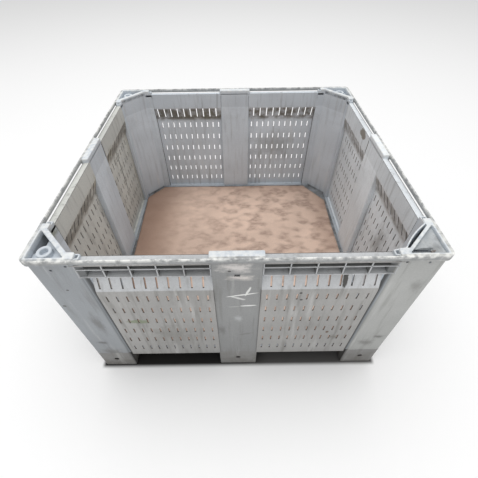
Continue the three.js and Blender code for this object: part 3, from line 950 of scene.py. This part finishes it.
@dataclass
class Corner:
    """A corner column with its foot, raised pad, gusset plate and boss."""

    side: Side
    material: Material
    foot_material: Material
    holes: tuple[FaceHole, ...] = ()
    split: bool = False
    plate_material: Material | None = None
    flat_end: float = 134.5
    end: float = 163.5
    dip: float = 13.0
    diagonal: float = 160.0
    skin: float = 4.0
    foot_end: float = 150.0
    foot_hole: float = 75.0
    lean_from: float = 690.0
    lean: float = 6.0
    lift: float = 6.5
    boss: tuple[float, float] = (52.0, 46.0)

    def half_outline(self, holes: list[FaceHole], foot: bool) -> Array:
        """From the middle of the outer corner along the first face to the far inside edge."""
        turn = np.linspace(0.25, 0.5, 4) * math.pi
        arc = np.stack([20 - 12 * np.cos(turn), 20 - 12 * np.sin(turn)], axis=-1)
        last = self.foot_end - 6 if foot else self.flat_end
        special = np.concatenate([hole_lines(h.along, h.radius) for h in holes]) if holes else np.zeros(0)
        a = merged_lines(np.linspace(30, last, 7), special)
        face = level(a, COLUMN_FACE)
        if foot:
            bend = np.linspace(0, 0.5, 4)[1:] * math.pi
            rest = np.stack([last + 6 * np.sin(bend), COLUMN_FACE + 6 - 6 * np.cos(bend)], axis=-1)
        else:
            a = np.linspace(self.flat_end, self.end - 1.5, 9)[1:]
            share = smooth((a - self.flat_end) / (self.end - self.flat_end))
            channel = np.stack([a, COLUMN_FACE + (self.dip - COLUMN_FACE) * share], axis=-1)
            lip = [[self.end, self.dip + 1.5], [self.end, INNER_FACE - 1], [self.end - 1, INNER_FACE]]
            rest = np.concatenate([channel, lip])
        return np.concatenate([arc, face, rest])

    def outline(self, foot: bool) -> Array:
        """The whole closed outline, as a along the first wall and b along the second."""
        first, second = (self.half_outline(self.face_holes(on_first, foot), foot) for on_first in (True, False))
        second = second[::-1, ::-1]
        near = self.diagonal - INNER_FACE
        if foot:
            e = self.foot_end
            inner = np.array([[e, e - 6], [e - 1.8, e - 1.8], [e - 6, e]])
        else:
            share = np.linspace(0, 1, 11)[:, None]
            inner = np.array([near, INNER_FACE]) * (1 - share) + np.array([INNER_FACE, near]) * share
        return np.concatenate([first, inner, second[:-1]])

    def face_holes(self, first: bool, foot: bool) -> list[FaceHole]:
        """The holes of one outside face: the round one of the foot, or those of the column."""
        if foot:
            return [FaceHole(first, self.foot_hole, FOOT_HOLE_HEIGHT, FOOT_HOLE_RADIUS)]
        return [hole for hole in self.holes if hole.on_first == first]

    def column(self) -> Patch:
        """The column: its outline carried upward; by the split, the inside wall leans out of line."""
        ring = self.outline(False)
        special = [hole_lines(h.height, h.radius) for h in self.holes]
        z = merged_lines(np.concatenate([[SKIN_BOTTOM], np.linspace(150, 700, 12), [720.0, 740.0, 760.0, 779.0]]),
                         np.concatenate(special) if special else np.zeros(0))
        local = np.concatenate([np.repeat(ring[:, None, :], z.size, axis=1),
                                np.broadcast_to(z[None, :, None], (len(ring), z.size, 1))], axis=-1).copy()
        keep = np.ones((len(ring), z.size - 1), bool)
        for hole in self.holes:
            across, depth = (0, 1) if hole.on_first else (1, 0)
            pierced(local, across, depth, COLUMN_FACE, hole.along, hole.height, hole.radius, keep)
        if self.split:
            total = local[..., 0] + local[..., 1]
            place = np.clip((local[..., 0] - local[..., 1] + 94) / 188, 0, 1)
            wall = (np.abs(total - self.diagonal) < 1) & (local[..., 2] > self.lean_from)
            high = smooth((local[..., 2] - self.lean_from) / 90)
            lean = self.lean * high * (0.35 + 0.65 * np.sin(math.pi * place)) * wall
            local[..., 0] += lean
            local[..., 1] += lean
            local[..., 2] += self.lift * smooth((local[..., 2] - 760) / 19) * wall
        flat = on_corner(self.side, local[..., 0], local[..., 1], local[..., 2])
        uneven = bumps(flat, 300.0, 51 + self.side.value) * 0.9
        a = local[..., 0] + uneven * (local[..., 0] < 12)
        b = local[..., 1] + uneven * (local[..., 1] < 12)
        points = on_corner(self.side, a, b, local[..., 2])
        return facing_out(grid(points, keep, wrap=True), tuple(on_corner(self.side, 50.0, 50.0, 450.0)))

    def foot(self) -> Patch:
        """The corner foot: a cup with rounded base edges and a round hole in each outside face."""
        return cup(self.outline(True), ((0, 1), (1, 0)), self.foot_hole,
                   lambda a, b, z: on_corner(self.side, a, b, z), (79.0, 79.0, 65.0))

    def pad(self) -> Patch:
        """The raised pad round its three-cornered pocket.

        Rays from one point cross the outside and the pocket outlines; the section between the two
        crossings goes up the outside, over the rounded top and down into the pocket.
        """
        near = (152.0 if self.split else self.diagonal) - INNER_FACE
        outer = np.concatenate([rounded_box((1.0, 150.0), (1.0, 150.0), 20.0, 6)[:7],
                                [[147.0, 1.0], [150.0, 4.0], [150.0, 30.0], [148.0, 33.0], [near, 33.0],
                                 [33.0, near], [33.0, 148.0], [30.0, 150.0], [4.0, 150.0], [1.0, 147.0]]])
        pocket = np.array([[17.0, 15.0], [118.0, 15.0], [120.0, 18.0], [18.0, 120.0], [15.0, 118.0], [15.0, 17.0]])
        centre = np.array([30.0, 30.0])
        angle = ray_angles((outer, pocket), centre, 60)
        far, close = crossing(outer, centre, angle), crossing(pocket, centre, angle)
        turn = np.linspace(0, math.pi / 2, 4)
        share = np.linspace(0, 1, 4)[1:-1]
        side = [PAD_BOTTOM, 775.0]
        lift = np.concatenate([side, HEIGHT - 3 + 3 * np.sin(turn), [HEIGHT, HEIGHT],
                               HEIGHT - 2.5 + 2.5 * np.sin(turn[::-1]), side[::-1]])
        inset = np.concatenate([[0.0, 0.0], 3 * (1 - np.cos(turn))])
        outset = np.concatenate([2.5 * (1 - np.cos(turn[::-1])), [0.0, 0.0]])
        far, close = far[:, None], close[:, None]
        reach = np.concatenate([far - inset, (far - 3) * (1 - share) + (close + 2.5) * share, close + outset], axis=1)
        a = centre[0] + reach * np.cos(angle)[:, None]
        b = centre[1] + reach * np.sin(angle)[:, None]
        points = on_corner(self.side, a, b, np.broadcast_to(lift, a.shape))
        worn = bumps(points, 29.0, 61 + self.side.value) * 1.5
        points[..., 2] -= worn * (points[..., 2] > 782)
        closed = np.concatenate([points, points[:, :1]], axis=1)
        return grid(closed, wrap=True)

    def gusset(self) -> list[Patch]:
        """The plate inside the pocket, with the round boss on it."""
        plate = np.array([[10, 10], [60, 10], [100, 10], [144, 10], [110, 44], [75, 79], [38, 116], [38, 88], [38, 58],
                          [24, 54], [10, 50], [10, 30]], float)
        rings = np.stack([on_corner(self.side, *shrunk(plate, i).T, h)
                          for h, i in ((755.0, 0.0), (759.2, 0.0), (760.0, 0.8))])
        angle = np.linspace(0, 2 * math.pi, 33)[:-1]
        section = ((22.5, 757.0), (22.0, 774.0), (20.5, 776.0), (14.0, 776.2), (12.0, 774.5), (11.5, 757.0),
                   (22.5, 757.0))
        x, y = self.boss
        boss = np.stack([on_corner(self.side, x + r * np.cos(angle), y + r * np.sin(angle), h) for r, h in section])
        return [loft(rings), loft(boss, closed_ends=False)]

    def burst_plate(self) -> Patch:
        """The lumpy plate of the split corner: rays from a point to an outline, heights from waves."""
        outline = np.array([[12, 12], [12, 52], [33, 57], [36, 104], [46, 98], [80, 64], [112, 32], [122, 12]], float)
        centre = np.array([36.0, 40.0])
        angle = ray_angles((outline,), centre, 72)
        share = np.linspace(0, 1, 14)
        reach = crossing(outline, centre, angle)[:, None] * share
        a, b = centre[0] + reach * np.cos(angle)[:, None], centre[1] + reach * np.sin(angle)[:, None]
        points = on_corner(self.side, a, b, np.full(a.shape, 781.0))
        points[..., 2] += 3.0 * waves(points, 46.0, 91) + 2.0 * waves(points, 21.0, 92)
        points[..., 2] -= 7.0 * smooth(share[None, :] * 2.2 - 1.2)
        return facing_out(grid(points, wrap=True), (0.0, 0.0, 0.0))

    def build(self) -> None:
        """Makes the corner's pieces."""
        name = CORNER_NAMES[self.side.value]
        Piece(f"{name}_column", [self.column()], self.material, self.skin, ROUNDED).build()
        Piece(f"{name}_foot", [self.foot()], self.foot_material, FOOT_SKIN, ROUNDED).build()
        if self.split:
            Piece(f"{name}_burst_plate", [self.burst_plate()], self.plate_material, self.skin).build()
        pad = Piece(f"{name}_pad", [self.pad()] + self.gusset(), self.material).build()
        outward_again(pad)


def outward_again(thing: bpy.types.Object) -> None:
    """Makes the faces of a closed mesh point outward."""
    mesh = bmesh.new()
    mesh.from_mesh(thing.data)
    bmesh.ops.recalc_face_normals(mesh, faces=mesh.faces[:])
    mesh.to_mesh(thing.data)
    mesh.free()


@dataclass
class FloorPlate:
    """The floor, its ribs and the foot in the middle."""

    material: Material
    foot_material: Material
    inset: float = 14.0
    skin: float = 4.0
    rib_bottom: float = 108.0
    ribs: int = 8
    foot_half: float = 80.0
    foot_top: float = 133.0

    def plate(self) -> Patch:
        """The plate: a level grid with a slight sag between the feet."""
        x = np.linspace(-1, 1, 25)[:, None] * (WIDTH / 2 - self.inset)
        y = np.linspace(-1, 1, 23)[None, :] * (DEPTH / 2 - self.inset)
        points = on_wall(Side.FRONT, x, y + DEPTH / 2, np.zeros((25, 23)))
        points[..., 2] = FLOOR_TOP - 0.6 * bumps(points, 380.0, 71)
        return facing_out(grid(points), (0.0, 0.0, 0.0))

    def rib(self, x: float) -> Patch:
        """One rib under the floor from front to back."""
        reach = DEPTH / 2 - self.inset
        return slab(Side.FRONT, (x - 2, x + 2), (self.inset, DEPTH / 2 + reach), (self.rib_bottom, 133.0))

    def foot(self) -> Patch:
        """The foot in the middle: an upright block with rounded edges."""
        outline = rounded_box((-self.foot_half, self.foot_half), (-self.foot_half, self.foot_half), 6.0)
        z, inset = eased_levels(BASE, self.foot_top, BASE_ROUND, 0.0, np.array([60.0]))
        return loft(carried(outline, z, inset))

    def build(self) -> None:
        """Makes the floor's pieces."""
        Piece("floor_plate", [self.plate()], self.material, thickness=self.skin).build()
        places = np.linspace(self.foot_half + 18, WIDTH / 2 - 170, self.ribs)
        ribs = [self.rib(float(sign * x)) for sign in (-1, 1) for x in places]
        Piece("floor_ribs", ribs, self.foot_material).build()
        foot = Piece("centre_foot", [self.foot()], self.foot_material).build()
        outward_again(foot)


@dataclass
class FloorLiner:
    """Loose board on the floor: one sheet with cut corners, uneven edges and a slight warp."""

    material: Material
    low: float = 136.5
    thickness: float = 2.6
    corners: tuple[tuple[float, float], ...] = (
        (-466, -528), (-150, -531), (170, -527), (455, -530), (556, -436), (561, -120), (558, 160), (563, 376),
        (452, 521), (210, 526), (90, 523), (-80, 524), (-220, 527), (-478, 526), (-570, 424), (-561, 130),
        (-556, -140), (-558, -440))

    def sheet(self) -> Patch:
        """The board: rays from the middle to the outline, with the height a sum of waves."""
        outline = np.array(self.corners, float)
        angle = ray_angles((outline,), np.zeros(2), 220)
        reach = crossing(outline, np.zeros(2), angle)
        share = np.concatenate([np.linspace(0, 0.97, 40), [0.985, 1.0]])
        x = reach[:, None] * share * np.cos(angle)[:, None]
        y = reach[:, None] * share * np.sin(angle)[:, None]
        points = np.stack([x, y, 0 * x], axis=-1)
        ragged = 1 - 0.0035 * bumps(points, 23.0, 81) * (share[None, :] > 0.98)
        points[..., :2] *= ragged[..., None]
        warp = bumps(points, 430.0, 82) * 1.6 + bumps(points, 120.0, 83) * 0.7
        points[..., 2] = self.low + self.thickness + warp * 1.6 * smooth(share[None, :] * 1.2)
        return facing_out(grid(points, wrap=True), (0.0, 0.0, 0.0))

    def build(self) -> None:
        """Makes the liner."""
        Piece("board_liner", [self.sheet()], self.material, self.thickness, slot=Slot.BOARD,
              node="floor_liner").build()


# Studio
@dataclass
class Studio:
    """Camera, one soft lamp, white surround and pale floor."""

    place: Tone = (-0.0007, -1.0891, 1.4754)
    yaw: float = 0.001
    pitch: float = 0.778
    roll: float = -0.013
    lens: float = 23.30
    shift: tuple[float, float] = (0.0055, -0.0541)
    surround: float = 0.63
    overhead: float = 295.0
    lamp_place: Tone = (-0.3, -0.3, 7.0)
    lamp_size: float = 8.0
    floor_reach: float = 30.0

    def camera(self) -> None:
        """Places the camera by its heading, downward tilt and roll."""
        forward = np.array([math.sin(self.yaw) * math.cos(self.pitch), math.cos(self.yaw) * math.cos(self.pitch),
                            -math.sin(self.pitch)])
        right = np.array([math.cos(self.yaw), -math.sin(self.yaw), 0.0])
        up = np.cross(right, forward)
        c, s = math.cos(self.roll), math.sin(self.roll)
        turn = np.eye(4)
        turn[:3] = np.stack([c * right + s * up, c * up - s * right, -forward, self.place], axis=-1)
        data = bpy.data.cameras.new("camera")
        data.lens, data.sensor_width = self.lens, 36.0
        data.shift_x, data.shift_y = self.shift
        camera = placed("camera", data)
        camera.matrix_world = Matrix(turn.tolist())
        bpy.context.scene.camera = camera

    def lamp(self) -> None:
        """One wide soft lamp overhead, a little in front."""
        data = bpy.data.lights.new("overhead", "AREA")
        data.shape, data.size, data.energy = "DISK", self.lamp_size, self.overhead
        placed("overhead", data).matrix_world = Matrix.Translation(self.lamp_place)

    def backdrop(self) -> None:
        """White surround: seen directly it is plain white, and as light it is softer."""
        world = bpy.data.worlds.new("surround")
        bpy.context.scene.world = world
        world.use_nodes = True
        tree = world.node_tree
        tree.nodes.clear()
        output = tree.nodes.new("ShaderNodeOutputWorld")
        path = tree.nodes.new("ShaderNodeLightPath")
        shades = []
        for strength in (self.surround, 1.0):
            node = tree.nodes.new("ShaderNodeBackground")
            node.inputs[0].default_value = (1.0, 1.0, 1.0, 1.0)
            node.inputs[1].default_value = strength
            shades.append(node)
        mix = tree.nodes.new("ShaderNodeMixShader")
        tree.links.new(path.outputs["Is Camera Ray"], mix.inputs[0])
        tree.links.new(shades[0].outputs[0], mix.inputs[1])
        tree.links.new(shades[1].outputs[0], mix.inputs[2])
        tree.links.new(mix.outputs[0], output.inputs[0])

    def floor(self) -> None:
        """Wide pale floor at ground level, with a shadow painted where the box keeps light from it."""
        sh = Shading("floor_paint")
        # Painted shadow: dark tones inside the box's footprint, darker to the left.
        under = sh.times(sh.span(sh.off_x, 0.600, 0.622, 1.0, 0.0), sh.span(sh.off_y, 0.562, 0.584, 1.0, 0.0))
        painted_shadow = sh.blend(linear(PAINTED_SHADOW_LEFT), linear(PAINTED_SHADOW_RIGHT), sh.span(sh.x, 0.0, 0.15))
        sh.surface(sh.blend(linear(FLOOR_PAINT), painted_shadow, under), sh.span(sh.noise(2.0), 0.3, 0.7, 0.88, 0.95), 0.0)
        mesh = bpy.data.meshes.new("floor")
        reach = self.floor_reach
        mesh.from_pydata([(-reach, -reach, 0), (reach, -reach, 0), (reach, reach, 0), (-reach, reach, 0)], [],
                         [(0, 1, 2, 3)])
        mesh.materials.append(sh.material)
        placed("floor", mesh)

    def build(self) -> None:
        """Sets up the whole studio."""
        self.camera()
        self.lamp()
        self.backdrop()
        self.floor()
        bpy.context.scene.view_settings.view_transform = "Standard"


# Finishes of this box
POST_MARKS = (
    Mark((-0.004, -0.566, 0.733), (0.074, 0.03, 0.036), (250, 244, 240), 0.6, 1.9, 2.4),
    Mark((0.012, -0.566, 0.682), (0.060, 0.03, 0.020), (246, 238, 232), 0.6, 1.8, 2.4),
    Mark((-0.023, -0.566, 0.719), (0.006, 0.03, 0.005), (74, 72, 70), 0.9, 0.5),
    Mark((0.015, -0.566, 0.586), (0.064, 0.03, 0.0045), (238, 238, 236), 0.95, 1.0, 1.4, -12.6),
    Mark((0.002, -0.566, 0.566), (0.032, 0.03, 0.0060), (232, 232, 230), 0.7, 1.4, 1.8, 24.0),
    Mark((0.034, -0.566, 0.606), (0.034, 0.03, 0.0050), (238, 238, 236), 0.9, 1.0, 1.6, -72.0),
    Mark((0.036, -0.566, 0.517), (0.034, 0.03, 0.0050), (238, 238, 236), 0.95, 0.8, 1.4, -5.0),
    Mark((-0.012, -0.566, 0.511), (0.024, 0.03, 0.0025), (200, 200, 198), 0.7, 1.0, 1.6, -4.0),
    Mark((0.002, -0.566, 0.424), (0.022, 0.03, 0.032), (196, 198, 200), 0.6, 1.4, 1.7),
    Mark((-0.060, -0.566, 0.330), (0.022, 0.03, 0.060), (110, 109, 107), 0.6, 1.4, 1.6),
    Mark((0.030, -0.566, 0.300), (0.040, 0.03, 0.010), (112, 111, 109), 0.5, 1.4, 1.6, -20.0),
)
LEFT_MARKS = (
    Mark((-0.532, -0.566, 0.628), (0.005, 0.03, 0.005), (82, 80, 78), 0.8, 0.4),
    Mark((-0.580, -0.566, 0.531), (0.008, 0.03, 0.006), (92, 90, 88), 0.8, 0.4),
    Mark((-0.544, -0.566, 0.235), (0.030, 0.03, 0.020), (70, 68, 64), 0.6, 1.5, 1.8),
    Mark((-0.510, -0.566, 0.385), (0.030, 0.03, 0.120), (112, 111, 108), 0.6, 1.5, 1.8),
    Mark((-0.530, -0.566, 0.140), (0.060, 0.03, 0.060), (104, 102, 98), 0.6, 1.5, 1.8),
    Mark((-0.577, -0.440, 0.751), (0.03, 0.05, 0.03), (120, 128, 98), 0.6, 1.2, 1.6),
)
RIGHT_MARKS = (
    Mark((0.557, -0.566, 0.256), (0.030, 0.03, 0.022), (76, 74, 70), 0.6, 1.5, 1.8),
    Mark((0.520, -0.566, 0.200), (0.050, 0.03, 0.045), (100, 98, 94), 0.55, 1.5, 1.8),
    Mark((0.560, -0.566, 0.620), (0.030, 0.03, 0.050), (126, 125, 122), 0.5, 1.5, 1.8),
)
FRONT_MARKS = (
    Mark((0.341, -0.568, 0.316), (0.007, 0.02, 0.009), (96, 70, 46), 0.9, 0.4),
    Mark((0.203, -0.568, 0.599), (0.006, 0.02, 0.006), (76, 74, 72), 0.9, 0.4),
    Mark((0.209, -0.568, 0.558), (0.006, 0.02, 0.006), (76, 74, 72), 0.9, 0.4),
    Mark((-0.356, -0.568, 0.419), (0.050, 0.02, 0.016), (128, 138, 112), 0.75, 1.3, 1.8),
    Mark((0.335, -0.555, 0.655), (0.010, 0.03, 0.040), (60, 57, 52), 0.9, 1.2, 1.6),
    Mark((0.372, -0.568, 0.270), (0.030, 0.02, 0.030), (110, 106, 98), 0.6, 1.5, 1.8),
    Mark((-0.250, -0.568, 0.300), (0.120, 0.02, 0.120), (118, 116, 110), 0.45, 1.6, 2.2),
)
PLATE_MARKS = (
    Mark((0.570, -0.535, 0.780), (0.030, 0.026, 0.03), (112, 112, 112), 0.5, 1.6, 2.4),
    Mark((0.540, -0.548, 0.776), (0.030, 0.008, 0.03), (104, 86, 72), 0.7, 1.2, 2.0),
    Mark((0.590, -0.500, 0.780), (0.016, 0.020, 0.03), (122, 123, 124), 0.5, 1.6, 2.4),
)
RIGHT_WALL_MARKS = (
    Mark((0.577, 0.149, 0.745), (0.02, 0.040, 0.024), (108, 96, 74), 0.75, 1.2, 1.6),
    Mark((0.590, -0.250, 0.450), (0.04, 0.090, 0.160), (112, 110, 106), 0.55, 1.6, 2.0),
)
LEFT_WALL_MARKS = (
    Mark((-0.577, -0.050, 0.660), (0.03, 0.080, 0.070), (150, 142, 108), 0.6, 1.5, 1.8),
    Mark((-0.577, 0.135, 0.661), (0.03, 0.060, 0.050), (140, 134, 106), 0.5, 1.5, 1.8),
    Mark((-0.602, 0.240, 0.500), (0.03, 0.006, 0.180), (84, 82, 78), 0.75, 0.9, 1.5),
)
BACK_MARKS = (
    Mark((-0.180, 0.540, 0.640), (0.280, 0.04, 0.060), (122, 118, 104), 0.55, 1.5, 2.0),
    Mark((-0.100, 0.538, 0.500), (0.030, 0.03, 0.110), (112, 110, 106), 0.5, 1.6, 2.0),
    Mark((0.240, 0.560, 0.420), (0.190, 0.03, 0.150), (120, 118, 112), 0.4, 1.6, 2.6),
)


def main() -> None:
    """Builds the box part by part, then the studio."""
    logging.basicConfig(level=logging.INFO, format="%(message)s")
    plain = PlasticFinish("grey_plastic", GREY).material()
    rim = PlasticFinish("grey_plastic_rim", GREY, whitening=1.0).material()
    # The vents' cut sides are dark with painted shade and some dirt, darker on the inward ones.
    edges = PlasticFinish("vent_edge_shade_and_dirt", (112.0, 108.0, 102.0), (88.0, 86.0, 84.0), 0.3).material()
    # The feet's dark inner tone, on their inward faces, the floor's ribs and the middle foot, is painted shade under
    # the box.
    feet = PlasticFinish("grey_plastic_feet", (150.0, 150.0, 149.0), (96.0, 95.0, 93.0)).material()
    left = PlasticFinish("grey_plastic_front_left", (161.0, 165.0, 169.0), marks=LEFT_MARKS).material()
    right = PlasticFinish("grey_plastic_front_right", (181.0, 182.0, 180.0), marks=RIGHT_MARKS).material()
    plate = PlasticFinish("grey_plastic_burst_plate", (182.0, 187.0, 190.0), (182.0, 187.0, 190.0), 0.24,
                          whitening=0.3, marks=PLATE_MARKS).material()
    posts = {side: plain for side in Side}
    posts[Side.FRONT] = PlasticFinish("grey_plastic_front_post", (153.0, 154.0, 154.0), whitening=0.62,
                                      marks=POST_MARKS).material()
    posts[Side.RIGHT] = PlasticFinish("grey_plastic_right_post", GREY, (236.0, 241.0, 245.0)).material()
    walls = {
        Side.FRONT: PlasticFinish("grey_plastic_front_wall", (170.0, 169.0, 167.0), (202.0, 204.0, 206.0), 0.14, 0.48,
                                  outer_skin=WALL_SKIN, marks=FRONT_MARKS),
        Side.RIGHT: PlasticFinish("grey_plastic_right_wall", (160.0, 161.0, 160.0), (234.0, 239.0, 243.0),
                                  streaks=0.5, slope_dirt=0.6, outer_skin=WALL_SKIN, marks=RIGHT_WALL_MARKS),
        Side.BACK: PlasticFinish("grey_plastic_back_wall", (160.0, 161.0, 160.0), streaks=0.6, slope_dirt=0.9,
                                 outer_skin=WALL_SKIN, marks=BACK_MARKS),
        Side.LEFT: PlasticFinish("grey_plastic_left_wall", (158.0, 159.0, 157.0), (212.0, 213.0, 208.0),
                                 streaks=0.7, slope_dirt=0.7, outer_skin=WALL_SKIN, marks=LEFT_WALL_MARKS),
    }
    for side in Side:
        VentedWall(side, walls[side].material(), edges).build()
        CentrePost(side, posts[side], feet).build()
    Corner(Side.FRONT, left, feet, (FaceHole(True, 69.5, 733.0), FaceHole(True, 118.5, 752.0))).build()
    Corner(Side.RIGHT, right, feet, (FaceHole(False, 56.5, 748.0), FaceHole(False, 122.5, 752.0)), split=True,
           plate_material=plate).build()
    Corner(Side.BACK, plain, feet).build()
    Corner(Side.LEFT, plain, feet).build()
    RimLip(rim).build()
    FloorPlate(plain, feet).build()
    FloorLiner(BoardFinish("brown_board").material()).build()
    Studio().build()
    LOG.info("the box is built")


if __name__ == "__main__":
    main()
